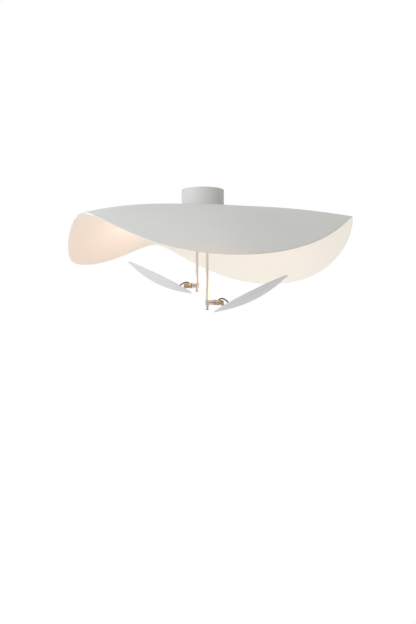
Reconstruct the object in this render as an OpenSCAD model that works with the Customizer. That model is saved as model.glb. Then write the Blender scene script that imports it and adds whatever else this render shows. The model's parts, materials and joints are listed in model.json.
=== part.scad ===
// Ceiling light. A thin metal sheet, bent into three lobes, hangs under a round canopy.
// Two rods come down through its middle. Each holds an arm with a dished disc that lights the sheet.
// The origin is the middle of the canopy on the ceiling plane, and +Z is up.
// Bearings are degrees from +X, turning towards +Y. The left arm points to -X and the right to +X.

/* [Canopy] */
// Outside diameter of the canopy
canopy_d = 150; // [134:1:220]
// Height of the canopy, from the ceiling to its underside
canopy_h = 62; // [56:1:100]
// Thickness of the canopy's wall
canopy_wall = 1.5; // [1:0.1:3]
// Thickness of the canopy's floor
canopy_floor_t = 2; // [1.5:0.1:4]
// Bevel round the canopy's lower edge
canopy_bevel = 1; // [0.5:0.1:1.4]

/* [Ceiling plate] */
// Thickness of the ceiling plate
plate_t = 3; // [2:0.5:5]
// Gap between the plate's edge and the canopy's wall
plate_gap = 0.5; // [0.2:0.1:1.5]
// Distance of the fixing holes in from the canopy's side
fixing_in = 10; // [8:0.5:12]
// Diameter of each fixing hole
fixing_hole_d = 5.5; // [4:0.5:6]
// Number of fixing holes
fixing_count = 3; // [3:1:3]
// Diameter of the hole for the supply cable's grommet
grommet_hole_d = 14; // [12:0.5:16]
// Bore of the supply cable's grommet
grommet_bore_d = 8; // [6:0.5:10]

/* [Clamping stack] */
// Distance of the standoffs in from the canopy's side
standoff_in = 25; // [23:1:27]
// Outside diameter of a standoff
standoff_d = 10; // [8:0.5:12]
// Thread diameter of the standoffs' screws
standoff_screw_d = 5; // [4:0.5:5]
// Thickness of the gasket between canopy and sheet
gasket_t = 1.5; // [0.5:0.1:3]
// Width of the ring over which the sheet is pinched
pinch_w = 17; // [12:1:17]
// Thickness of the clamp plate
clamp_t = 4; // [3:0.5:8]

/* [Shade sheet] */
// Radius of the round sheet before it is bent
sheet_r = 525.6; // [400:0.1:650]
// Shift of the round sheet's middle from the canopy's axis, along X
sheet_off_x = 6.1; // [-20:0.1:20]
// Shift of the round sheet's middle from the canopy's axis, along Y
sheet_off_y = 21.4; // [-30:0.1:30]
// Thickness of the sheet
sheet_t = 2; // [1.2:0.1:3]
// How the bend gathers towards the rim: 1 is an even bend, more keeps the middle flatter
sheet_bend_power = 0.89; // [0.6:0.01:1.5]
// Width of the flat ring left round the canopy
sheet_flat = 2; // [1:0.5:20]
// Extra roundness of all crests close to the canopy
hub_soft_ratio = 0.5; // [0:0.05:1]
// Bearing of the first crest, at the back
crest_1_bearing_angle = 112.3; // [100:0.1:120]
// Slope of the sheet's rim at the first crest
crest_1_slope_angle = 18.7; // [5:0.1:30]
// Roundness of the first crest
crest_1_soft_ratio = 0.08; // [0.03:0.01:0.5]
// Bearing of the second crest, at the left
crest_2_bearing_angle = 222.6; // [215:0.1:235]
// Slope of the sheet's rim at the second crest
crest_2_slope_angle = 16.3; // [5:0.1:30]
// Roundness of the second crest
crest_2_soft_ratio = 0.18; // [0.03:0.01:0.5]
// Bearing of the third crest, at the right
crest_3_bearing_angle = 343.1; // [335:0.1:355]
// Slope of the sheet's rim at the third crest
crest_3_slope_angle = 12.1; // [5:0.1:30]
// Roundness of the third crest
crest_3_soft_ratio = 0.06; // [0.03:0.01:0.5]
// Angle from the first crest on to the left lobe's lowest bearing
lobe_1_turn_angle = 63.8; // [45:0.1:75]
// Slope of the left lobe's rim
lobe_1_slope_angle = 50; // [30:0.1:70]
// Fullness of the left lobe: more makes its lowest part broader
lobe_1_full_ratio = 0.28; // [0:0.01:0.8]
// Angle from the second crest on to the front lobe's lowest bearing
lobe_2_turn_angle = 59; // [45:0.1:70]
// Slope of the front lobe's rim
lobe_2_slope_angle = 54.4; // [30:0.1:70]
// Fullness of the front lobe
lobe_2_full_ratio = 0.14; // [0:0.01:0.8]
// Angle from the third crest on to the back right lobe's lowest bearing
lobe_3_turn_angle = 63.9; // [50:0.1:75]
// Slope of the back right lobe's rim
lobe_3_slope_angle = 65.9; // [30:0.1:74]
// Fullness of the back right lobe
lobe_3_full_ratio = 0.19; // [0:0.01:0.8]

/* [Rods] */
// Outside diameter of both rods
rod_d = 10; // [9:0.5:11]
// Wall of both rods
rod_wall = 1.5; // [1:0.1:2]
// Distance of both rods in from the canopy's side: the left one from its back, the right one from its front
rod_in = 30; // [28:1:33]
// Place of the left rod, along X
left_rod_x = -21; // [-23:1:-16]
// Place of the right rod, along X
right_rod_x = 16; // [12:1:20]
// Depth of the left arm's axis below the ceiling
left_arm_down = 336; // [300:1:400]
// Depth of the right arm's axis below the ceiling
right_arm_down = 398.4; // [350:0.1:450]
// Length of the left rod below its arm's axis
left_stub = 21.4; // [16:0.1:30]
// Length of the right rod below its arm's axis
right_stub = 25.4; // [16:0.1:30]
// Height of the collar under the clamp plate
collar_h = 12; // [8:1:16]
// Outside diameter of the collar
collar_d = 16; // [14:0.5:18]
// Height of the plug that closes a rod
plug_h = 2; // [1:0.5:4]

/* [Arms] */
// Left block, from its rod's axis to its outer face
left_block_reach = 18; // [17:0.5:19]
// Right block, from its rod's axis to its outer face
right_block_reach = 25; // [20:0.5:27]
// Left arm, from its rod's axis to the tilt pin
left_arm_reach = 40; // [39:0.5:44]
// Right arm, from its rod's axis to the tilt pin
right_arm_reach = 50; // [48:0.5:56]
// Diameter of the block's body
block_d = 18; // [16:0.5:18]
// Diameter of the block's upright sleeve round the rod
sleeve_d = 15; // [14:0.5:17]
// Diameter of the brass arm
arm_d = 19; // [18:0.5:20]
// Diameter of the arm's spigot in the block
spigot_d = 9; // [8.5:0.5:10]
// Thickness of the dark ring between block and arm
ring_t = 1.5; // [1:0.1:2.5]
// Radius of the arm's knuckle
knuckle_r = 8; // [7:0.5:8.5]
// Thickness of one cheek of the knuckle
cheek_t = 4; // [3:0.5:4.5]
// Thickness of the tongue between the cheeks
tongue_t = 6; // [4:0.5:6]
// Diameter of the tilt pin
pin_d = 4; // [3:0.5:5]
// Turn of the right arm about its own axis, near side up
right_roll_angle = 4; // [0:0.5:10]
// Turn of the left arm about its own axis, near side up
left_roll_angle = 3; // [0:0.5:10]
// Diameter of the black lead
lead_d = 4.4; // [3:0.1:4.4]

/* [Discs] */
// Diameter of the left disc
left_disc_d = 254; // [228:1:280]
// Diameter of the right disc
right_disc_d = 285; // [256:1:310]
// Depth of both dishes
dish_depth = 24; // [22:0.5:30]
// Thickness of the dishes' metal
dish_t = 2; // [1.5:0.1:3]
// Radius of the bead round the dishes' rims
bead_r = 1.5; // [1:0.1:2]
// Upward tilt of the discs' outer ends
disc_tilt_angle = 26; // [10:1:45]
// Distance from the left disc's rim in to its tilt pin
left_pin_inset = 31; // [28:0.5:32]
// Distance from the right disc's rim in to its tilt pin
right_pin_inset = 37.5; // [35:0.5:40]
// Height of the left tilt pin above the left disc's rim
left_pin_up = 15; // [14.5:0.5:18]
// Height of the right tilt pin above the right disc's rim
right_pin_up = 17; // [15:0.5:20]
// Radius of the foot's flange
foot_r = 9; // [8.5:0.5:10]
// Room between the foot and the bezel, where the lead's gland stands
gland_room = 18; // [18:0.5:20]
// Distance from the foot's edge out to the middle of the lead's gland
gland_out = 13.5; // [12:0.5:13.5]
// Thickness of the board
board_t = 1.6; // [1:0.1:2.5]
// Depth of the heat spreader's top below the rim
spreader_down = 14; // [13.5:0.1:15]
// Width of the bezel
bezel_w = 16; // [15:0.5:17]
// Margin between the bezel's lip and the board that carries the light sources
board_margin = 6; // [4:0.5:10]
// Thickness of the bezel's lip
lip_t = 1.4; // [1:0.1:2]
// Thickness of the diffuser
diffuser_t = 2; // [1.5:0.1:2.2]
// Number of light sources on the inner ring of the board
inner_chips = 8; // [4:1:12]
// Number of light sources on the outer ring of the board
outer_chips = 16; // [8:1:24]

/* [Hidden] */
$fn = 64;
left = 0;
right = 1;

// General clearances
slack = 0.1;       // round a fixed piece in its hole
running = 0.05;    // radial, round a piece that turns
tip_gap = 0.3;     // past the end of a screw or lead
side_gap = 0.2;    // each side of the tongue
over = 1;          // how far a cutting shape runs past a face

// Canopy and the stack under it
canopy_r = canopy_d / 2;
canopy_bottom = -canopy_h;
canopy_floor = canopy_bottom + canopy_floor_t;
plate_r = canopy_r - canopy_wall - plate_gap;
sheet_top = canopy_bottom - gasket_t;
sheet_bottom = sheet_top - sheet_t;
clamp_bottom = sheet_bottom - clamp_t;
sheet_hole_r = canopy_r - pinch_w;
standoff_at = canopy_r - standoff_in;
standoff_bearings = [90, 210, 330];
standoff_screw_r = standoff_screw_d / 2;
standoff_thread = 12;
plate_head_r = 4.5;
plate_web = 0.4;
plate_head_h = plate_t - plate_web;
clamp_head_r = 4.75;
clamp_head_h = 2.75;
clamp_socket_r = 1.75;
fixing_at = canopy_r - fixing_in;
first_fixing_angle = 30;
fixing_bearings = [for (i = [0:fixing_count - 1]) first_fixing_angle + 360 / fixing_count * i];
grommet_x = -10;
grommet_y = 31;
grommet_flange = 1.5;
grommet_below = 3;
grommet_groove = 1;

// Driver, terminals and leads inside the canopy
driver_l = 78;
driver_w = 30;
driver_h = 22;
driver_ear = 10;
driver_ear_w = 17;
driver_ear_t = 2.5;
driver_screw_r = 1.75;
driver_head_r = 3.4;
driver_head_h = 2;
driver_top = -plate_t;
terminal_l = 36;
terminal_w = 15;
terminal_h = 16;
terminal_count = 3;
terminal_gap = 13.5;
terminal_x = 31;
terminal_y = driver_w / 2 + terminal_gap + terminal_w / 2;
earth_x = -38;
earth_y = -38;
earth_stud_r = 2;
earth_stud_l = 12;
earth_nut_r = 4.04;
earth_nut_h = 3.2;
wire_r = 1.3;
wire_slack = 0.4;
wire_down = 12;
lead_r = lead_d / 2;
lead_bend_r = 12;

// Rods
rod_r = rod_d / 2;
rod_bore_r = rod_r - rod_wall;
rod_x = [left_rod_x, right_rod_x];
rod_y = [canopy_r - rod_in, rod_in - canopy_r];
arm_z = [-left_arm_down, -right_arm_down];
stub = [left_stub, right_stub];
washer_t = 1;
washer_w = 3.5;
washer_r = rod_r + washer_w;
locknut_h = 6;
locknut_w = 3.4;
locknut_r = rod_r + locknut_w;
rod_past_nut = 3;
rod_top = canopy_floor + washer_t + locknut_h + rod_past_nut;
plug_spigot = 6;
window_gap = 0.3;
window_r = lead_r + window_gap;

// Arms, along +X from the rod's axis, on the arm's axis
block_reach = [left_block_reach, right_block_reach];
arm_reach = [left_arm_reach, right_arm_reach];
arm_roll = [-left_roll_angle, -right_roll_angle];
spigot_gap = 2.5;
spigot_start = rod_r + spigot_gap;
fork_gap = tongue_t + 2 * side_gap;
fork_w = fork_gap + 2 * cheek_t;
eye_in = 1;
eye_r = knuckle_r - eye_in;
root_gap = 0.6;
slot_root = eye_r + root_gap;
lead_bore_gap = 0.6;
lead_bore_r = lead_r + lead_bore_gap;
lead_turn_r = lead_bore_r + 1;
lead_rise_angle = 45;
lead_turn_back = 19;
front_screw_r = 2;
front_screw_in = 6.5;
back_screw_r = 1.5;
socket_r = 1.1;
socket_deep = 1.6;
pin_head_w = 1.5;
pin_head_r = pin_d / 2 + pin_head_w;
pin_head_h = 2;
arm_bevel = 1;

// Discs: origin in the middle of the rim plane, +X to the outer end, +Z out of the hollow
disc_r = [left_disc_d / 2, right_disc_d / 2];
pin_in = [left_disc_d / 2 - left_pin_inset, right_disc_d / 2 - right_pin_inset];
pin_up = [left_pin_up, right_pin_up];
foot_flange_t = 3;
foot_stem_w = 10;
stud_r = 1.5;
stud_apart = 13;
stud_over = 3.6;
nut_h = 2.4;
nut_r = 3.17;
seat_gap = 0.05;
bezel_r = min(pin_in) - foot_r - gland_room;
bezel_lip_r = bezel_r - bezel_w;
lip_cover = 5.5;
spreader_r = bezel_lip_r + lip_cover;
board_r = bezel_lip_r - board_margin;
skirt_w = 3;
chip = 3;
chip_h = 0.7;
outer_ring_in = 12;
outer_ring_r = board_r - outer_ring_in;
ring_apart = 15;
inner_ring_r = outer_ring_r - ring_apart;
diffuser_drop = 1.5;
lip_under = -spreader_down + board_t + chip_h + diffuser_drop;
bezel_top = lip_under + lip_t;
flange_t = 1.4;
bezel_screw_count = 3;
bezel_screw_r = 1.2;
bezel_head_r = 2.5;
bezel_head_h = 1.3;
boss_r = 3;
boss_at = (bezel_r + spreader_r) / 2;
boss_top = 2.5 - spreader_down;
first_boss_angle = 60;
gland_r = 4;
gland_top = -6.5;
gland_spout_r = 2;
gland_spout_up = 1.5;

// Cap of a sphere that has the dish's rim and depth
function dish_sphere_r(s) = (pow(disc_r[s], 2) + pow(dish_depth, 2)) / (2 * dish_depth);
function dish_middle(s) = dish_sphere_r(s) - dish_depth;
function dish_floor(s, away) =
    dish_middle(s) - sqrt(pow(dish_sphere_r(s) - dish_t, 2) - pow(away, 2));
function gland_in(s) = pin_in[s] - foot_r - gland_out;

// Place of a point of the disc, seen from the rod, in the arm's upright plane
function from_rod(s, x, z) = [
    arm_reach[s] + (x + pin_in[s]) * cos(disc_tilt_angle) - (z - pin_up[s]) * sin(disc_tilt_angle),
    (x + pin_in[s]) * sin(disc_tilt_angle) + (z - pin_up[s]) * cos(disc_tilt_angle)];

// Point at u on a cubic curve
function curve(p, u) = pow(1 - u, 3) * p[0] + 3 * u * pow(1 - u, 2) * p[1]
    + 3 * u * u * (1 - u) * p[2] + pow(u, 3) * p[3];
function unit(v) = v / norm(v);

module on_rod(s) {
    translate([rod_x[s], rod_y[s], arm_z[s]]) mirror([s == left ? 1 : 0, 0, 0]) children();
}
module on_arm(s) {
    on_rod(s) rotate([arm_roll[s], 0, 0]) children();
}
module on_disc(s) {
    on_arm(s) translate([arm_reach[s], 0, 0]) rotate([0, -disc_tilt_angle, 0])
        translate([pin_in[s], 0, -pin_up[s]]) children();
}
module at_rods() {
    for (s = [left, right]) translate([rod_x[s], rod_y[s], 0]) children();
}
module at_standoffs() {
    for (b = standoff_bearings) rotate(b) translate([standoff_at, 0, 0]) children();
}
// Upright bar from z = low to z = high
module bar(r, low, high) {
    translate([0, 0, low]) cylinder(r = r, h = high - low);
}
// Bar along X from x = start to x = end
module lying_bar(r, start, end) {
    translate([start, 0, 0]) rotate([0, 90, 0]) cylinder(r = r, h = end - start);
}
// Bar along Y, centred
module cross_bar(r, w) {
    rotate([90, 0, 0]) cylinder(r = r, h = w, center = true);
}
module box(low, high) {
    translate(low) cube(high - low);
}

module ceiling_plate() {
    color("#b9bcbe") difference() {
        bar(plate_r, -plate_t, 0);
        for (b = fixing_bearings) rotate(b) translate([fixing_at, 0, 0])
            bar(fixing_hole_d / 2, -plate_t - over, over);
        at_standoffs() {
            bar(standoff_screw_r + slack, -plate_t - over, over);
            bar(plate_head_r + slack, -plate_head_h, over);
        }
        translate([grommet_x, grommet_y, 0]) bar(grommet_hole_d / 2, -plate_t - over, over);
    }
}

module plate_screws() {
    color("#c8c9c9") at_standoffs() {
        bar(plate_head_r, -plate_head_h + slack, 0);
        bar(standoff_screw_r, -plate_t - standoff_thread, -plate_head_h + slack);
    }
}

module standoffs() {
    color("#c4c6c8") at_standoffs() difference() {
        bar(standoff_d / 2, canopy_floor, -plate_t);
        bar(standoff_screw_r + slack, canopy_floor - over, -plate_t + over);
    }
}

module canopy() {
    color("#dadbda") difference() {
        rotate_extrude() polygon([
            [0, canopy_bottom],
            [canopy_r - canopy_bevel, canopy_bottom],
            [canopy_r, canopy_bottom + canopy_bevel],
            [canopy_r, 0],
            [canopy_r - canopy_wall, 0],
            [canopy_r - canopy_wall, canopy_floor],
            [0, canopy_floor]]);
        at_standoffs() bar(standoff_screw_r + slack, canopy_bottom - over, canopy_floor + over);
        at_rods() bar(rod_r + slack, canopy_bottom - over, canopy_floor + over);
    }
}

module driver() {
    color("#e8e8e4") difference() {
        union() {
            box([-driver_l / 2, -driver_w / 2, driver_top - driver_h],
                [driver_l / 2, driver_w / 2, driver_top]);
            box([-driver_l / 2 - driver_ear, -driver_ear_w / 2, driver_top - driver_ear_t],
                [driver_l / 2 + driver_ear, driver_ear_w / 2, driver_top]);
        }
        driver_ears() bar(driver_screw_r + slack, driver_top - driver_ear_t - over, driver_top + over);
    }
}

module driver_ears() {
    for (side = [-1, 1]) translate([side * (driver_l + driver_ear) / 2, 0, 0]) children();
}

module driver_screws() {
    head_top = driver_top - driver_ear_t;
    color("#c8c9c9") driver_ears() {
        bar(driver_head_r, head_top - driver_head_h, head_top);
        bar(driver_screw_r, head_top, driver_top);
    }
}

module terminal_block() {
    way = terminal_l / terminal_count;
    color("#f1efe6") translate([terminal_x, terminal_y, driver_top]) difference() {
        box([-terminal_l / 2, -terminal_w / 2, -terminal_h], [terminal_l / 2, terminal_w / 2, 0]);
        for (i = [-1, 0, 1]) translate([i * way, 0, -wire_down])
            cross_bar(wire_r + wire_slack, terminal_w + over);
        bar(driver_screw_r + slack, -terminal_h - over, over);
        bar(driver_head_r + slack, -terminal_h - over, -terminal_h + driver_head_h);
    }
}

module terminal_screw() {
    color("#c8c9c9") translate([terminal_x, terminal_y, driver_top]) {
        bar(driver_head_r, -terminal_h, -terminal_h + driver_head_h);
        bar(driver_screw_r, -terminal_h + driver_head_h, 0);
    }
}

module earth_stud() {
    color("#c9a85a") translate([earth_x, earth_y, -plate_t]) {
        bar(earth_stud_r, -earth_stud_l, 0);
        translate([0, 0, -earth_nut_h]) cylinder(r = earth_nut_r, h = earth_nut_h, $fn = 6);
    }
}

module cable_grommet() {
    color("#2b2b2b") translate([grommet_x, grommet_y, 0]) difference() {
        union() {
            bar(grommet_hole_d / 2 - slack, -plate_t - grommet_below, -grommet_groove);
            bar(grommet_hole_d / 2 + grommet_flange, -plate_t - grommet_below, -plate_t);
        }
        bar(grommet_bore_d / 2, -plate_t - grommet_below - over, over);
    }
}

// Two wires from the terminals to the driver's side
module mains_leads() {
    way = terminal_l / terminal_count;
    color("#8a6a4a") for (i = [-1, 0]) translate([terminal_x + i * way, 0, driver_top - wire_down])
        translate([0, driver_w / 2, 0]) rotate([-90, 0, 0])
            cylinder(r = wire_r, h = terminal_y - terminal_w / 4 - driver_w / 2);
}

// A lead from the driver's side bends down into each rod and runs to its window
module rod_leads() {
    color("#1d1d1d") for (s = [left, right]) {
        side = rod_y[s] > 0 ? 1 : -1;
        bend_z = driver_top - wire_down - lead_bend_r;
        translate([rod_x[s], rod_y[s], 0]) {
            bar(lead_r, arm_z[s] + lead_r, bend_z);
            translate([0, -side * lead_bend_r, bend_z])
                rotate([90, 0, side * 90]) rotate_extrude(angle = 90)
                    translate([lead_bend_r, 0]) circle(r = lead_r);
        }
        translate([rod_x[s], side * driver_w / 2, bend_z + lead_bend_r]) rotate([-side * 90, 0, 0])
            cylinder(r = lead_r, h = side * rod_y[s] - lead_bend_r - driver_w / 2);
    }
}

module sheet_gasket() {
    color("#3a3a3a") difference() {
        bar(canopy_r - canopy_bevel, sheet_top, canopy_bottom);
        bar(sheet_hole_r, sheet_top - over, canopy_bottom + over);
    }
}

// The sheet: ribs run out from the middle, each bent down by its own droop
ring_count = 16;
column_count = 16;
gather_power = 1.6;
flat_r = canopy_r + sheet_flat;
full_turn_angle = 360;
crests = [
    [crest_1_bearing_angle, crest_1_slope_angle, crest_1_soft_ratio],
    [crest_2_bearing_angle, crest_2_slope_angle, crest_2_soft_ratio],
    [crest_3_bearing_angle, crest_3_slope_angle, crest_3_soft_ratio],
    [crest_1_bearing_angle + full_turn_angle, crest_1_slope_angle, crest_1_soft_ratio]];
lobes = [
    [lobe_1_turn_angle, lobe_1_slope_angle, lobe_1_full_ratio],
    [lobe_2_turn_angle, lobe_2_slope_angle, lobe_2_full_ratio],
    [lobe_3_turn_angle, lobe_3_slope_angle, lobe_3_full_ratio]];

// 0 on a crest, 1 in the middle of a lobe, with the crest rounded by soft
function off_crest(u, soft) =
    (sqrt(pow(sin(90 * u), 2) + soft * soft) - soft) / (sqrt(1 + soft * soft) - soft);
// The same, with the lobe's lowest part broadened by full
function fuller(w, full) = (1 + full) * w / (1 + full * w * w);
// Slope of the sheet at the share t of the way to its rim, and the share u from a crest to a lobe's middle
function slope(crest, lobe, u, t) = pow(t, sheet_bend_power)
    * (crest[1] + (lobe[1] - crest[1])
        * fuller(off_crest(u, crest[2] + hub_soft_ratio * pow(1 - t, 3)), lobe[2]));
// A column of the grid: its bearing, its crest, its lobe and its share u
function span(crest, lobe, lobe_bearing, shares) = [for (v = shares)
    let (u = pow(v, gather_power)) [crest[0] + (lobe_bearing - crest[0]) * u, crest, lobe, u]];
columns = [for (i = [0:2]) let (lobe_bearing = crests[i][0] + lobes[i][0]) each concat(
    span(crests[i], lobes[i], lobe_bearing, [for (k = [0:column_count - 1]) k / column_count]),
    span(crests[i + 1], lobes[i], lobe_bearing, [for (k = [0:column_count - 1]) 1 - k / column_count]))];

function column_slope(c, j) = slope(c[1], c[2], c[3], (j + 0.5) / ring_count);
// Distance of the flat sheet's rim from the canopy's axis
function flat_reach(bearing) = sheet_off_x * cos(bearing) + sheet_off_y * sin(bearing)
    + sqrt(pow(sheet_r, 2) - pow(sheet_off_x * sin(bearing) - sheet_off_y * cos(bearing), 2));
// Distance from the axis and height of a rib's points, from the hole to the rim
function rib(c) = let (step = (flat_reach(c[0]) - flat_r) / ring_count)
    concat([[sheet_hole_r, sheet_top]], [
        for (j = 0, away = flat_r, z = sheet_top; j <= ring_count;
            away = away + step * cos(column_slope(c, j)),
            z = z - step * sin(column_slope(c, j)),
            j = j + 1) [away, z]]);
upper = [for (c = columns) [for (p = rib(c)) [p[0] * cos(c[0]), p[0] * sin(c[0]), p[1]]]];
last = len(upper[0]) - 1;
function across(i, k) = k < 2 ? [0, 0, 1] : unit(cross(
    upper[i][min(k + 1, last)] - upper[i][k - 1],
    upper[(i + 1) % len(upper)][k] - upper[(i + len(upper) - 1) % len(upper)][k]));
lower = [for (i = [0:len(upper) - 1]) [for (k = [0:last]) upper[i][k] - sheet_t * across(i, k)]];
function quad(a, b, c, d) = [[a, b, c], [a, c, d]];

module shade_sheet() {
    n = len(upper);
    row = last + 1;
    faces = [for (i = [0:n - 1]) let (a = i * row, b = (i + 1) % n * row, under = n * row) each concat(
        [for (k = [0:last - 1]) each quad(a + k, b + k, b + k + 1, a + k + 1)],
        [for (k = [0:last - 1]) each
            quad(under + a + k, under + a + k + 1, under + b + k + 1, under + b + k)],
        quad(a + last, b + last, under + b + last, under + a + last),
        quad(a, under + a, under + b, b))];
    color("#d4d4d1") polyhedron(
        points = [for (grid = [upper, lower]) each [for (r = grid) each r]], faces = faces);
}

module clamp_plate() {
    color("#e6e4df") difference() {
        union() {
            bar(canopy_r - canopy_bevel, clamp_bottom, sheet_bottom);
            bar(sheet_hole_r - slack, sheet_bottom, sheet_top);
        }
        at_standoffs() bar(standoff_screw_r + slack, clamp_bottom - over, sheet_top + over);
        at_rods() bar(rod_r + slack, clamp_bottom - over, sheet_top + over);
    }
}

module clamp_screws() {
    color("#c8c9c9") at_standoffs() difference() {
        union() {
            bar(clamp_head_r, clamp_bottom - clamp_head_h, clamp_bottom);
            bar(standoff_screw_r, clamp_bottom, canopy_floor + standoff_thread);
        }
        translate([0, 0, clamp_bottom - clamp_head_h - over])
            cylinder(r = clamp_socket_r, h = over + socket_deep, $fn = 6);
    }
}

module rod(s) {
    bottom = arm_z[s] - stub[s] + plug_h;
    color("#cdc6bd") difference() {
        translate([rod_x[s], rod_y[s], 0]) bar(rod_r, bottom, rod_top);
        translate([rod_x[s], rod_y[s], 0]) bar(rod_bore_r, bottom - over, rod_top + over);
        on_rod(s) lying_bar(window_r, 0, rod_r + over);
    }
}

module rod_collars() {
    color("#cdc6bd") at_rods() difference() {
        bar(collar_d / 2, clamp_bottom - collar_h, clamp_bottom);
        bar(rod_r + slack, clamp_bottom - collar_h - over, clamp_bottom + over);
    }
}

module rod_washers() {
    color("#c4c6c8") at_rods() difference() {
        bar(washer_r, canopy_floor, canopy_floor + washer_t);
        bar(rod_r + slack, canopy_floor - over, canopy_floor + washer_t + over);
    }
}

module rod_locknuts() {
    low = canopy_floor + washer_t;
    color("#c4c6c8") at_rods() difference() {
        translate([0, 0, low]) cylinder(r = locknut_r, h = locknut_h, $fn = 6);
        bar(rod_r + slack, low - over, low + locknut_h + over);
    }
}

module rod_plugs() {
    color("#4a443e") for (s = [left, right]) translate([rod_x[s], rod_y[s], arm_z[s] - stub[s]]) {
        bar(rod_r, 0, plug_h);
        bar(rod_bore_r - slack, plug_h, plug_h + plug_spigot);
    }
}

module block(s) {
    reach = block_reach[s];
    color("#cfc8bd") on_rod(s) difference() {
        union() {
            bar(sleeve_d / 2, -block_d / 2, block_d / 2);
            lying_bar(block_d / 2, 0, reach);
        }
        bar(rod_r + running, -block_d, block_d);
        lying_bar(lead_bore_r, 0, reach);
        lying_bar(spigot_d / 2 + running, spigot_start - slack, reach + over);
        translate([reach - front_screw_in, -block_d / 4, 0])
            cross_bar(front_screw_r + slack, block_d / 2 + over);
        translate([0, sleeve_d / 2, 0]) cross_bar(back_screw_r + slack, sleeve_d - rod_d + over);
    }
}

// The front screw grips the spigot and the back one the rod
module block_screws(s) {
    front_tip = spigot_d / 2 + tip_gap;
    back_tip = rod_r + tip_gap;
    color("#3b3b3b") on_rod(s) {
        translate([block_reach[s] - front_screw_in, 0, 0]) rotate([90, 0, 0]) difference() {
            bar(front_screw_r, front_tip, block_d / 2 - slack);
            translate([0, 0, block_d / 2 - socket_deep])
                cylinder(r = socket_r, h = socket_deep + over, $fn = 6);
        }
        rotate([-90, 0, 0]) bar(back_screw_r, back_tip, sleeve_d / 2 - slack);
    }
}

module arm_ring(s) {
    start = block_reach[s] + slack;
    color("#2e2b28") on_arm(s) difference() {
        lying_bar(arm_d / 2, start, start + ring_t - slack);
        lying_bar(spigot_d / 2 + slack, start - over, start + ring_t + over);
    }
}

module arm(s) {
    start = block_reach[s] + ring_t;
    pin_x = arm_reach[s];
    slot_x = pin_x - slot_root;
    turn_x = pin_x - lead_turn_back;
    color("#a97a4c") on_arm(s) difference() {
        union() {
            lying_bar(spigot_d / 2, spigot_start, start);
            lying_bar(arm_d / 2, start, slot_x - arm_bevel);
            translate([slot_x - arm_bevel, 0, 0]) rotate([0, 90, 0])
                cylinder(r1 = arm_d / 2, r2 = arm_d / 2 - arm_bevel, h = arm_bevel);
            box([slot_x, -fork_w / 2, -knuckle_r], [pin_x, fork_w / 2, knuckle_r]);
            translate([pin_x, 0, 0]) cross_bar(knuckle_r, fork_w);
        }
        box([slot_x, -fork_gap / 2, -arm_d], [pin_x + arm_d, fork_gap / 2, arm_d]);
        translate([pin_x, 0, 0]) cross_bar(pin_d / 2 + running, fork_w + over);
        lying_bar(lead_bore_r, spigot_start - over, turn_x);
        translate([turn_x, 0, 0]) sphere(r = lead_turn_r);
        translate([turn_x, 0, 0]) rotate([0, -lead_rise_angle, 0]) lying_bar(lead_bore_r, 0, arm_d);
    }
}

module tilt_screw(s) {
    color("#b98f5e") on_arm(s) translate([arm_reach[s], 0, 0]) {
        cross_bar(pin_d / 2, fork_w);
        for (side = [-1, 1]) translate([0, side * (fork_w + pin_head_h) / 2, 0])
            cross_bar(pin_head_r, pin_head_h);
    }
}

// The lead's middle line in the arm's upright plane: along the bore, up out of the arm, over the
// knuckle and down into the gland
lead_side_count = 12;
lead_step_count = 14;
lead_corner = 4;
lead_out_pull = [12, 18];
lead_in_pull = [14, 17.5];
function lead_line(s) =
    let (turn = [arm_reach[s] - lead_turn_back, 0],
        up = [cos(lead_rise_angle), sin(lead_rise_angle)],
        out = turn + up * (arm_d / 2 / sin(lead_rise_angle)),
        end = from_rod(s, -gland_in(s), gland_top + tip_gap),
        down = [sin(disc_tilt_angle), -cos(disc_tilt_angle)],
        arch = [out, out + up * lead_out_pull[s], end - down * lead_in_pull[s], end])
    concat([[spigot_start, 0]],
        [for (u = [0, 1/3, 2/3]) curve([turn - [lead_corner, 0], turn, turn, turn + up * lead_corner], u)],
        [for (i = [0:lead_step_count]) curve(arch, i / lead_step_count)]);

module lead(s) {
    line = lead_line(s);
    n = len(line);
    rings = [for (i = [0:n - 1])
        let (ahead = unit(line[min(i + 1, n - 1)] - line[max(i - 1, 0)]))
        [for (j = [0:lead_side_count - 1]) let (a = 360 / lead_side_count * j) [
            line[i][0] - lead_r * cos(a) * ahead[1],
            lead_r * sin(a),
            line[i][1] + lead_r * cos(a) * ahead[0]]]];
    sides = [for (i = [0:n - 2]) for (j = [0:lead_side_count - 1])
        let (a = i * lead_side_count, b = a + lead_side_count, k = (j + 1) % lead_side_count)
        each quad(a + j, a + k, b + k, b + j)];
    ends = [[for (j = [0:lead_side_count - 1]) lead_side_count - 1 - j],
        [for (j = [0:lead_side_count - 1]) (n - 1) * lead_side_count + j]];
    color("#1c1c1c") on_arm(s) polyhedron(
        points = [for (r = rings) each r], faces = concat(sides, ends));
}

// Everything inside the dish's inner skin, less a gap, between two heights
module inside_dish(s, gap) {
    translate([0, 0, dish_middle(s)]) sphere(r = dish_sphere_r(s) - dish_t - gap, $fn = 200);
}

module at_studs(s) {
    for (side = [-1, 1]) translate([-pin_in[s], side * stud_apart / 2, 0]) children();
}
module at_bosses() {
    for (i = [0:bezel_screw_count - 1]) rotate(first_boss_angle + 360 / bezel_screw_count * i)
        translate([boss_at, 0, 0]) children();
}
function foot_top(s) = dish_floor(s, pin_in[s]) + foot_flange_t;

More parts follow.
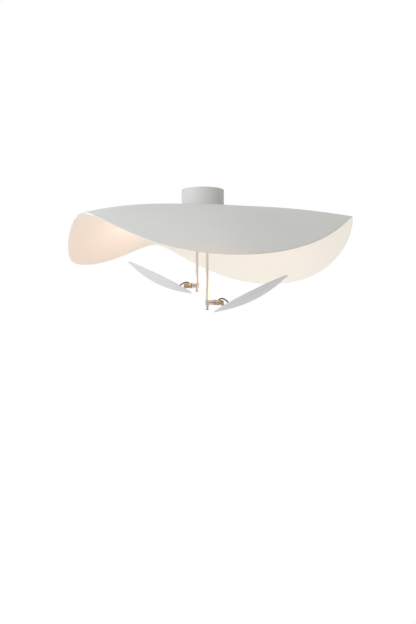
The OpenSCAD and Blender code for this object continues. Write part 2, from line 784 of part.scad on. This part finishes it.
module foot(s) {
    color("#a97a4c") on_disc(s) difference() {
        intersection() {
            union() {
                translate([-pin_in[s], 0, 0]) bar(foot_r, -dish_depth, foot_top(s));
                box([-pin_in[s] - foot_stem_w / 2, -tongue_t / 2, -dish_depth],
                    [-pin_in[s] + foot_stem_w / 2, tongue_t / 2, pin_up[s]]);
                translate([-pin_in[s], 0, pin_up[s]]) cross_bar(eye_r, tongue_t);
            }
            inside_dish(s, seat_gap);
        }
        translate([-pin_in[s], 0, pin_up[s]]) cross_bar(pin_d / 2 + running, tongue_t + over);
        at_studs(s) bar(stud_r + slack, -dish_depth, foot_top(s) + over);
    }
}

module foot_nuts(s) {
    color("#c4c6c8") on_disc(s) at_studs(s) difference() {
        translate([0, 0, foot_top(s)]) cylinder(r = nut_r, h = nut_h, $fn = 6);
        bar(stud_r + slack, foot_top(s) - over, foot_top(s) + nut_h + over);
    }
}

module disc(s) {
    bead_at = disc_r[s] - bead_r;
    color("#cfd0d6") on_disc(s) {
        difference() {
            intersection() {
                translate([0, 0, dish_middle(s)]) sphere(r = dish_sphere_r(s), $fn = 200);
                bar(bead_at, -dish_depth - over, 0);
            }
            inside_dish(s, 0);
        }
        rotate_extrude($fn = 128) translate([bead_at, -bead_r / 2]) circle(r = bead_r, $fn = 24);
        at_studs(s) bar(stud_r, dish_floor(s, pin_in[s]) - dish_t / 2, foot_top(s) + stud_over);
        at_bosses() difference() {
            bar(boss_r, dish_floor(s, boss_at) - dish_t / 2, boss_top);
            bar(bezel_screw_r + slack, -spreader_down - tip_gap, boss_top + over);
        }
    }
}

module heat_spreader(s) {
    color("#b4b7ba") on_disc(s) intersection() {
        bar(spreader_r, -dish_depth, -spreader_down);
        inside_dish(s, seat_gap);
    }
}

module led_board(s) {
    color("#f2f2ee") on_disc(s) translate([0, 0, -spreader_down]) {
        bar(board_r, 0, board_t);
        for (ring = [[inner_ring_r, inner_chips], [outer_ring_r, outer_chips]])
            for (i = [0:ring[1] - 1]) rotate(360 / ring[1] * i) translate([ring[0], 0, board_t])
                box([-chip / 2, -chip / 2, -board_t / 2], [chip / 2, chip / 2, chip_h]);
    }
}

module diffuser(s) {
    color("#fff3df") on_disc(s) difference() {
        union() {
            bar(spreader_r - slack, -spreader_down, lip_under - slack);
            bar(bezel_lip_r - slack, -spreader_down, bezel_top);
        }
        bar(spreader_r - skirt_w, -spreader_down - over, lip_under - slack - flange_t);
        bar(bezel_lip_r - skirt_w, -spreader_down - over, bezel_top - diffuser_t);
    }
}

module bezel(s) {
    color("#d9d9dc") on_disc(s) difference() {
        intersection() {
            bar(bezel_r, -dish_depth, bezel_top);
            inside_dish(s, seat_gap);
        }
        bar(spreader_r + slack, -dish_depth - over, lip_under);
        bar(bezel_lip_r, -dish_depth - over, bezel_top + over);
        at_bosses() {
            bar(boss_r + slack, -dish_depth - over, boss_top + slack);
            bar(bezel_screw_r + slack, -dish_depth, bezel_top + over);
            bar(bezel_head_r + slack, bezel_top - bezel_head_h - slack, bezel_top + over);
        }
    }
}

module bezel_screws(s) {
    color("#c4c6c8") on_disc(s) at_bosses() {
        bar(bezel_head_r, bezel_top - bezel_head_h, bezel_top);
        bar(bezel_screw_r, -spreader_down, bezel_top - bezel_head_h);
    }
}

// The gland stands on the dish beside the bezel, and its spout leads through to the board
module lead_gland(s) {
    spout_z = -spreader_down + gland_spout_r + gland_spout_up;
    color("#26262a") on_disc(s) intersection() {
        union() {
            translate([-gland_in(s), 0, 0]) bar(gland_r, -dish_depth, gland_top);
            translate([0, 0, spout_z]) lying_bar(gland_spout_r, -gland_in(s), -bezel_r - seat_gap);
        }
        inside_dish(s, seat_gap);
    }
}

ceiling_plate();
plate_screws();
standoffs();
canopy();
driver();
driver_screws();
terminal_block();
terminal_screw();
earth_stud();
cable_grommet();
mains_leads();
rod_leads();
sheet_gasket();
shade_sheet();
clamp_plate();
clamp_screws();
rod(left);  // rod_short
rod(right);  // rod_long
rod_collars();
rod_washers();
rod_locknuts();
rod_plugs();
block(left);  // block_left
block_screws(left);  // block_screws_left
arm_ring(left);  // arm_ring_left
arm(left);  // arm_left
tilt_screw(left);  // tilt_screw_left
lead(left);  // lead_left
foot(left);  // foot_left
foot_nuts(left);  // foot_nuts_left
disc(left);  // disc_left
heat_spreader(left);  // heat_spreader_left
led_board(left);  // led_board_left
diffuser(left);  // diffuser_left
bezel(left);  // bezel_left
bezel_screws(left);  // bezel_screws_left
lead_gland(left);  // lead_gland_left
block(right);  // block_right
block_screws(right);  // block_screws_right
arm_ring(right);  // arm_ring_right
arm(right);  // arm_right
tilt_screw(right);  // tilt_screw_right
lead(right);  // lead_right
foot(right);  // foot_right
foot_nuts(right);  // foot_nuts_right
disc(right);  // disc_right
heat_spreader(right);  // heat_spreader_right
led_board(right);  // led_board_right
diffuser(right);  // diffuser_right
bezel(right);  // bezel_right
bezel_screws(right);  // bezel_screws_right
lead_gland(right);  // lead_gland_right
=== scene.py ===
import json
import math

import bmesh
import bpy
from mathutils import Matrix, Vector
from mathutils.geometry import interpolate_bezier


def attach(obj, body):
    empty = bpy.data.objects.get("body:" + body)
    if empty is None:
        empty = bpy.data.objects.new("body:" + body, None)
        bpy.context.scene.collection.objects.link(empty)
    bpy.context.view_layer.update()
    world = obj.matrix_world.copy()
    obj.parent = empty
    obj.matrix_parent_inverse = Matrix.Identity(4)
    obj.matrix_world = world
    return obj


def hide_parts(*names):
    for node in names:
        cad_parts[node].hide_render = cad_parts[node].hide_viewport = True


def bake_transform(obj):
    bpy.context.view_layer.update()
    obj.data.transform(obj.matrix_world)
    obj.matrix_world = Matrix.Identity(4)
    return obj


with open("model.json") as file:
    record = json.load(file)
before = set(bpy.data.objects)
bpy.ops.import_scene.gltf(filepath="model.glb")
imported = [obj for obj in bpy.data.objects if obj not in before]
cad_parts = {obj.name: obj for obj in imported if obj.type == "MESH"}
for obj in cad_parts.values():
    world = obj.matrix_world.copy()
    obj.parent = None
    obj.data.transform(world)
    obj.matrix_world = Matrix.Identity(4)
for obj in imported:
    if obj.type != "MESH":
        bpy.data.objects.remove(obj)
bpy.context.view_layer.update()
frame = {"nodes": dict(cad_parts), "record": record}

MM = 0.001

# ---------------------------------------------------------------- camera

FOCAL_PIXELS, PHOTO_HEIGHT = 692, 624
SENSOR_LONG_SIDE = 36
CAMERA_PLACE = (0.01862, -2.4539, -0.43143)
LEVEL_ALONG_Y = (math.radians(90), 0, 0)

camera = bpy.data.objects.new("camera", bpy.data.cameras.new("camera"))
camera.data.sensor_width = SENSOR_LONG_SIDE
camera.data.lens = FOCAL_PIXELS / PHOTO_HEIGHT * SENSOR_LONG_SIDE
camera.location = CAMERA_PLACE
camera.rotation_euler = LEVEL_ALONG_Y
bpy.context.scene.collection.objects.link(camera)
bpy.context.scene.camera = camera


# ---------------------------------------------------------------- helpers

def linear(code):
    """An sRGB hex colour as linear red, green, blue and alpha."""
    parts = [int(code[i:i + 2], 16) / 255 for i in (0, 2, 4)]
    return [c / 12.92 if c <= 0.04045 else ((c + 0.055) / 1.055) ** 2.4 for c in parts] + [1]


def add_node(tree, kind, inputs=None, **settings):
    """Adds a node. Inputs maps socket names or numbers to plain values or other nodes' outputs."""
    added = tree.nodes.new(kind)
    for name, value in settings.items():
        setattr(added, name, value)
    for key, value in (inputs or {}).items():
        socket = added.inputs[key]
        if isinstance(value, bpy.types.NodeSocket):
            tree.links.new(value, socket)
        else:
            socket.default_value = value
    return added


def new_tree(owner):
    """An empty node tree for a material or a world."""
    owner.use_nodes = True
    owner.node_tree.nodes.clear()
    return owner.node_tree


def add_piece(name, mesh, materials):
    piece = bpy.data.objects.new(name, mesh)
    bpy.context.scene.collection.objects.link(piece)
    for material in materials:
        mesh.materials.append(material)
    return piece


# ---------------------------------------------------------------- materials

PATCH_EDGES = (0.35, 0.65)         # the noise values where the tone is wholly the one or the other
GRAIN_RANGE = (0.3, 0.7)           # the noise values where the roughness is least and most
ROUGHNESS_SPREAD = 0.06


def surface(name, colour, worn, patch_mm, grain_mm, depth_mm, roughness, stretch=(1, 1, 1),
            **sockets):
    """A material whose colour drifts between two close tones in patches of a real size, and whose
    fine grain, also of a real size, varies its roughness and raises a shallow bump. A stretch
    under 1 draws both out along that axis."""
    material = bpy.data.materials.new(name)
    tree = new_tree(material)
    place = add_node(tree, "ShaderNodeTexCoord").outputs["Object"]
    along = add_node(tree, "ShaderNodeMapping", {
        "Vector": place, "Scale": stretch}).outputs["Vector"]
    patches = add_node(tree, "ShaderNodeTexNoise", {
        "Vector": along, "Scale": 1 / (patch_mm * MM), "Detail": 3, "Roughness": 0.55})
    grain = add_node(tree, "ShaderNodeTexNoise", {
        "Vector": along, "Scale": 1 / (grain_mm * MM), "Detail": 2, "Roughness": 0.5})
    tone = add_node(tree, "ShaderNodeValToRGB", {"Fac": patches.outputs["Fac"]})
    for stop, position, code in zip(tone.color_ramp.elements, PATCH_EDGES, (worn, colour)):
        stop.position = position
        stop.color = linear(code)
    rough = add_node(tree, "ShaderNodeMapRange", {
        "Value": grain.outputs["Fac"], "From Min": GRAIN_RANGE[0], "From Max": GRAIN_RANGE[1],
        "To Min": roughness - ROUGHNESS_SPREAD, "To Max": roughness + ROUGHNESS_SPREAD})
    bump = add_node(tree, "ShaderNodeBump", {
        "Height": grain.outputs["Fac"], "Strength": 1.0, "Distance": depth_mm * MM})
    shader = add_node(tree, "ShaderNodeBsdfPrincipled", {
        "Base Color": tone.outputs["Color"], "Roughness": rough.outputs["Result"],
        "Normal": bump.outputs["Normal"], **sockets})
    add_node(tree, "ShaderNodeOutputMaterial", {"Surface": shader.outputs["BSDF"]})
    return material


# Powder coat on aluminium: a soft orange peel a couple of millimetres across, barely glossy.
# The peel is drawn twice as coarse as the real one so that it shows.
sheet_outside = surface("powder_coat_outside", "CDCDCD", "CBCBCB", 160, 2.4, 0.02, 0.58)
# The inner face's matt white emulsion: two close creams, one towards peach, in broad patches
# Its warm cream tint is painted light: it stands partly for the discs' warm glow on the inner face
sheet_inside = surface("white_emulsion_painted_warm_glow", "F9F3ED", "F7F4EF", 60, 3.0, 0.05, 0.75)
# Opal acrylic over the boards: smooth, with a low sheen
OPAL = ("FFF6EA", "FFF2E2", 30, 1.0, 0.01, 0.35)

FINISHES = {
    "sheet_paint": sheet_outside,
    # Powder coat on the canopy and the clamp plate under the sheet
    "canopy_paint": surface("powder_coat_canopy", "CBCBCB", "C8C8C8", 60, 1.6, 0.02, 0.5),
    # Powder coat on the spun dishes, a shade cooler
    "disc_paint": surface("powder_coat_disc", "DBDBE2", "D8D8DF", 80, 1.6, 0.02, 0.5),
    "bezel_paint": surface("powder_coat_bezel", "E2E2E2", "DFDFDF", 60, 1.6, 0.02, 0.5),
    # Zinc plated steel: cool and faintly cloudy
    "plate_steel": surface("zinc_plated_steel", "BFC3C6", "A9AEB2", 9, 0.8, 0.01, 0.38,
                           Metallic=1.0),
    "screw_steel": surface("zinc_plated_screw", "C6C8C9", "B2B5B8", 3, 0.5, 0.01, 0.34,
                           Metallic=1.0),
    # Satin nickel, drawn: fine lines run along the rods
    "rod_nickel": surface("satin_nickel_rod", "E2DDD4", "D8D2C8", 14, 0.7, 0.01, 0.32,
                          stretch=(1, 1, 0.04), Metallic=1.0),
    # Satin nickel, machined and brushed round the blocks
    "block_nickel": surface("satin_nickel_block", "DED8D0", "CFC8BE", 5, 0.6, 0.012, 0.34,
                            stretch=(0.2, 1, 1), Metallic=1.0),
    # Brass, turned and lacquered: tool lines run round the arms, so they change along X
    "arm_brass": surface("turned_brass", "EBD6BC", "C6A582", 2.2, 0.45, 0.012, 0.2,
                         stretch=(1, 0.1, 0.1), Metallic=1.0),
    # Brass of the earth stud: yellower, with a soft shine
    "earth_brass": surface("plain_brass", "C7AE62", "B2964C", 3, 0.5, 0.01, 0.3, Metallic=1.0),
    # Black oxide on the set screws: nearly matt
    "black_screw": surface("black_oxide_steel", "3A3A3C", "2B2B2C", 1.5, 0.3, 0.01, 0.45,
                           Metallic=1.0),
    # Moulded black nylon with a fine spark finish
    "black_plastic": surface("moulded_black_nylon", "2C2B2B", "232222", 6, 0.35, 0.02, 0.48),
    # Extruded silicone sheath: smooth, a low sheen and slow waves along it
    "lead_sheath": surface("silicone_sheath", "0C0C0C", "080808", 12, 0.8, 0.015, 0.55,
                            **{"Specular IOR Level": 0.2}),
    # Cut rubber sheet: matt with a dusty tone
    "gasket_rubber": surface("cut_rubber", "3B3B3A", "323231", 8, 0.6, 0.03, 0.8),
    # Moulded cases: off-white, with the faint satin of the mould
    "driver_case": surface("moulded_polycarbonate", "E7E7E2", "E2E2DC", 20, 0.5, 0.02, 0.45),
    "terminal_nylon": surface("moulded_natural_nylon", "F0EDE2", "EAE6D9", 12, 0.6, 0.02, 0.42),
    # Machined aluminium: facing lines across the heat spreader
    "spreader_aluminium": surface("machined_aluminium", "C0C3C5", "B3B6B9", 18, 0.6, 0.012, 0.36,
                                  stretch=(1, 0.06, 0.06), Metallic=1.0),
    # Solder mask on the boards: a bright even white
    "board_white": surface("white_solder_mask", "F2F2EE", "EDEDE8", 15, 0.5, 0.01, 0.4),
    "diffuser_opal": surface("opal_acrylic", *OPAL),
}

for row in frame["record"]["subparts"]:
    mesh = frame["nodes"][row["node"]].data
    mesh.materials.clear()
    mesh.materials.append(FINISHES[row["material_slot"]])

# Lit opal acrylic glows evenly: neutral in the left disc, brighter and warm in the right one, whose
# light falls on the left lobe
for side, tint, strength in (("left", "FCFDFF", 7.0), ("right", "FFC484", 9.0)):
    glow = surface("lit_opal_acrylic_" + side, *OPAL, **{
        "Emission Color": linear(tint), "Emission Strength": strength})
    frame["nodes"]["diffuser_" + side].data.materials[0] = glow


# ---------------------------------------------------------------- black leads

LEAD_D = 4.4 * MM
TUBE_ROUNDNESS = 6
LEAD_RISE = math.radians(45)       # the bore leaves the arm at this slope
DISC_TILT = math.radians(26)
INSIDE_ARM, INSIDE_GLAND = 6 * MM, 2 * MM
PATH_STEPS = 30

# Each arm's axis at its rod, the way it points, its roll, where the lead leaves and enters, along
# the arm and above its axis, and how far it runs straight on there
LEADS = {
    "left": {"axis": (-0.021, 0.045, -0.336), "way": -1, "roll": math.radians(-3),
             "out": (30.5 * MM, 9.5 * MM), "end": (69.52 * MM, -9.19 * MM),
             "out_pull": 12 * MM, "in_pull": 14 * MM},
    "right": {"axis": (0.016, -0.045, -0.3984), "way": 1, "roll": math.radians(-4),
              "out": (40.5 * MM, 9.5 * MM), "end": (80.39 * MM, -10.99 * MM),
              "out_pull": 18 * MM, "in_pull": 17.5 * MM},
}


def make_lead(side, lead):
    """A round cord from the arm's bore, over its arch, into the gland on the disc."""
    to_arm = (Matrix.Translation(lead["axis"]) @ Matrix.Diagonal((lead["way"], 1, 1, 1))
              @ Matrix.Rotation(lead["roll"], 4, "X"))

    def at(point):
        return to_arm @ Vector((point[0], 0, point[1]))

    up = Vector((math.cos(LEAD_RISE), math.sin(LEAD_RISE)))
    down = Vector((math.sin(DISC_TILT), -math.cos(DISC_TILT)))
    out, end = Vector(lead["out"]), Vector(lead["end"])
    arch = interpolate_bezier(at(out), at(out + up * lead["out_pull"]),
                              at(end - down * lead["in_pull"]), at(end), PATH_STEPS)
    path = [at(out - up * INSIDE_ARM)] + list(arch) + [at(end + down * INSIDE_GLAND)]

    curve = bpy.data.curves.new("lead_line", "CURVE")
    curve.dimensions = "3D"
    curve.bevel_depth = LEAD_D / 2
    curve.bevel_resolution = TUBE_ROUNDNESS
    curve.use_fill_caps = True
    spline = curve.splines.new("POLY")
    spline.points.add(len(path) - 1)
    for point, place in zip(spline.points, path):
        point.co = (*place, 1)
    line = bpy.data.objects.new("lead_line", curve)
    mesh = bpy.data.meshes.new_from_object(line)
    bpy.data.objects.remove(line)
    mesh.materials.clear()
    mesh.shade_smooth()
    tube = add_piece("lead_tube_" + side, mesh, [FINISHES["lead_sheath"]])
    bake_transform(tube)
    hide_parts("lead_" + side)


for side, lead in LEADS.items():
    make_lead(side, lead)


# ---------------------------------------------------------------- shade sheet

SAME_POINT = 0.01 * MM
RIM_ROUND, RIM_STEPS = 0.4 * MM, 2
SMOOTH_LEVELS = 2
CUT_EDGE_ANGLE = math.radians(60)  # only the edges along the rim and the hole are sharper
ROUNDED_ANGLE = math.radians(40)

mesh = frame["nodes"]["shade_sheet"].data.copy()
mesh.materials.clear()
bm = bmesh.new()
bm.from_mesh(mesh)
bmesh.ops.remove_doubles(bm, verts=bm.verts, dist=SAME_POINT)
# Pairs of triangles become quads again, which smooth more evenly
diagonals = [e for e in bm.edges if len(e.link_faces) == 2 and all(
    e.calc_length() >= max(other.calc_length() for other in f.edges) for f in e.link_faces)]
bmesh.ops.dissolve_edges(bm, edges=diagonals, use_verts=False)
crease = bm.edges.layers.float.new("crease_edge")
for f in bm.faces:
    f.smooth = True
for e in bm.edges:
    if e.calc_face_angle(0) > CUT_EDGE_ANGLE:
        e[crease] = 1
for f in bm.faces:                 # the outside's paint also covers the cut edges
    cut_edge = sum(e[crease] for e in f.edges) > 1
    f.material_index = 0 if cut_edge or f.normal.z > 0 else 1
bm.to_mesh(mesh)
bm.free()
sheet = add_piece("painted_sheet", mesh, [sheet_outside, sheet_inside])
smooth = sheet.modifiers.new("smooth", "SUBSURF")
smooth.levels = smooth.render_levels = SMOOTH_LEVELS
rim = sheet.modifiers.new("rim", "BEVEL")
rim.limit_method = "ANGLE"
rim.angle_limit = ROUNDED_ANGLE
rim.width = RIM_ROUND
rim.segments = RIM_STEPS
rim.harden_normals = True
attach(sheet, "root")
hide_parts("shade_sheet")


# ---------------------------------------------------------------- world, lights and floor

WHITE = "FFFFFF"
AMBIENT = 0.82
BIAS = (-0.32, 0, -0.12)           # the soft light is stronger from the left and from below
LEFT_TINT, RIGHT_TINT = "FCFDFF", "FEFFEF"
ROOM_DIM = 0.42                    # how much light the dim room in front gives back
ROOM_EDGE, ROOM_CORE = 0.6, 0.95   # the cosines from straight ahead between which it sets in
BEAM_TINT = "FF8840"
FLOOR_Z = -2.4
FLOOR_HALF = 1.9
FLOOR_PAINT, FLOOR_GLOW = "F2F2F2", 0.3


def seen_directly(tree):
    """1 for camera, glossy and transmission rays, which see the plain white surround."""
    rays = add_node(tree, "ShaderNodeLightPath").outputs
    either = add_node(tree, "ShaderNodeMath", {0: rays["Is Camera Ray"], 1: rays["Is Glossy Ray"]},
                      operation="MAXIMUM")
    return add_node(tree, "ShaderNodeMath", {
        0: either.outputs[0], 1: rays["Is Transmission Ray"]}, operation="MAXIMUM").outputs[0]


def dim_room(tree, direction):
    """The white surround as metal mirrors it: its strength falls off in the dim room in front, at
    the photographer's side, which gives the rods and arms their darker middle."""
    ahead = add_node(tree, "ShaderNodeVectorMath", {0: direction, 1: (0, -1, 0)},
                     operation="DOT_PRODUCT").outputs["Value"]
    dimmed = add_node(tree, "ShaderNodeMapRange", {
        "Value": ahead, "From Min": ROOM_EDGE, "From Max": ROOM_CORE,
        "To Min": 1.0, "To Max": ROOM_DIM},
        interpolation_type="SMOOTHSTEP").outputs["Result"]
    glossy = add_node(tree, "ShaderNodeLightPath").outputs["Is Glossy Ray"]
    return add_node(tree, "ShaderNodeMix", {"Factor": glossy, "A": 1.0, "B": dimmed},
                    data_type="FLOAT").outputs["Result"]


world = bpy.data.worlds.new("studio")
bpy.context.scene.world = world
tree = new_tree(world)
direction = add_node(tree, "ShaderNodeTexCoord").outputs["Generated"]
biased = add_node(tree, "ShaderNodeVectorMath", {0: direction, 1: BIAS},
                  operation="DOT_PRODUCT").outputs["Value"]
strength = add_node(tree, "ShaderNodeMath", {0: biased, 1: AMBIENT}, operation="ADD").outputs[0]
along_x = add_node(tree, "ShaderNodeSeparateXYZ", {0: direction}).outputs["X"]
tint = add_node(tree, "ShaderNodeMix", {
    "Factor": add_node(tree, "ShaderNodeMath", {0: along_x, 1: 0.5, 2: 0.5},
                       operation="MULTIPLY_ADD").outputs[0],
    "A": linear(LEFT_TINT), "B": linear(RIGHT_TINT)}, data_type="RGBA").outputs["Result"]
ambient = add_node(tree, "ShaderNodeBackground", {"Color": tint, "Strength": strength})
white = add_node(tree, "ShaderNodeBackground", {
    "Color": linear(WHITE), "Strength": dim_room(tree, direction)})
both = add_node(tree, "ShaderNodeMixShader", {
    0: seen_directly(tree), 1: ambient.outputs[0], 2: white.outputs[0]})
add_node(tree, "ShaderNodeOutputWorld", {"Surface": both.outputs[0]})


def add_softbox(name, place, aim, size, power, colour=WHITE, spread=180):
    """A round lamp that metal doesn't mirror. Its power is in watts and its spread in degrees."""
    light = bpy.data.lights.new(name, "AREA")
    light.shape = "DISK"
    light.size = size
    light.energy = power
    light.color = linear(colour)[:3]
    light.spread = math.radians(spread)
    holder = bpy.data.objects.new(name, light)
    holder.location = place
    holder.rotation_euler = (Vector(aim) - Vector(place)).to_track_quat("-Z", "Y").to_euler()
    holder.visible_glossy = False
    bpy.context.scene.collection.objects.link(holder)


add_softbox("key", (-0.95, -1.1, 0.3), (-0.2, 0, -0.15), 1.4, 9)
# The right disc's beam, which warms the inside of the left lobe past both sides of the left disc
add_softbox("beam_back", (0.0, 0.22, -0.38), (-0.45, -0.02, -0.17), 0.2, 0.24, BEAM_TINT, 150)
add_softbox("beam_front", (0.1, -0.45, -0.4), (-0.45, 0, -0.2), 0.3, 0.085, BEAM_TINT, 60)

# A pale painted floor that keeps the shadow. It fades out towards its rim and is clear from below.
material = bpy.data.materials.new("pale_floor")
tree = new_tree(material)
paint = add_node(tree, "ShaderNodeBsdfDiffuse", {"Color": linear(FLOOR_PAINT)})
glow = add_node(tree, "ShaderNodeEmission", {"Color": linear(WHITE), "Strength": FLOOR_GLOW})
lit = add_node(tree, "ShaderNodeAddShader", {0: paint.outputs[0], 1: glow.outputs[0]})
direct = add_node(tree, "ShaderNodeMixShader", {
    0: seen_directly(tree), 1: paint.outputs[0], 2: lit.outputs[0]})
clear = add_node(tree, "ShaderNodeBsdfTransparent")
place = add_node(tree, "ShaderNodeTexCoord").outputs["Object"]
flat = add_node(tree, "ShaderNodeVectorMath", {0: place, 1: (1, 1, 0)}, operation="MULTIPLY")
from_middle = add_node(tree, "ShaderNodeVectorMath", {0: flat.outputs[0]},
                       operation="LENGTH").outputs["Value"]
fade = add_node(tree, "ShaderNodeMapRange", {
    "Value": from_middle, "From Min": FLOOR_HALF / 2, "From Max": FLOOR_HALF},
    interpolation_type="SMOOTHSTEP").outputs["Result"]
under = add_node(tree, "ShaderNodeNewGeometry").outputs["Backfacing"]
gone = add_node(tree, "ShaderNodeMath", {0: fade, 1: under}, operation="MAXIMUM").outputs[0]
both = add_node(tree, "ShaderNodeMixShader", {0: gone, 1: direct.outputs[0], 2: clear.outputs[0]})
add_node(tree, "ShaderNodeOutputMaterial", {"Surface": both.outputs[0]})

mesh = bpy.data.meshes.new("room_floor")
bm = bmesh.new()
bmesh.ops.create_grid(bm, x_segments=1, y_segments=1, size=FLOOR_HALF,
                      matrix=Matrix.Translation((0, 0, FLOOR_Z)))
bm.to_mesh(mesh)
bm.free()
add_piece("room_floor", mesh, [material])

bpy.context.scene.view_settings.view_transform = "Standard"
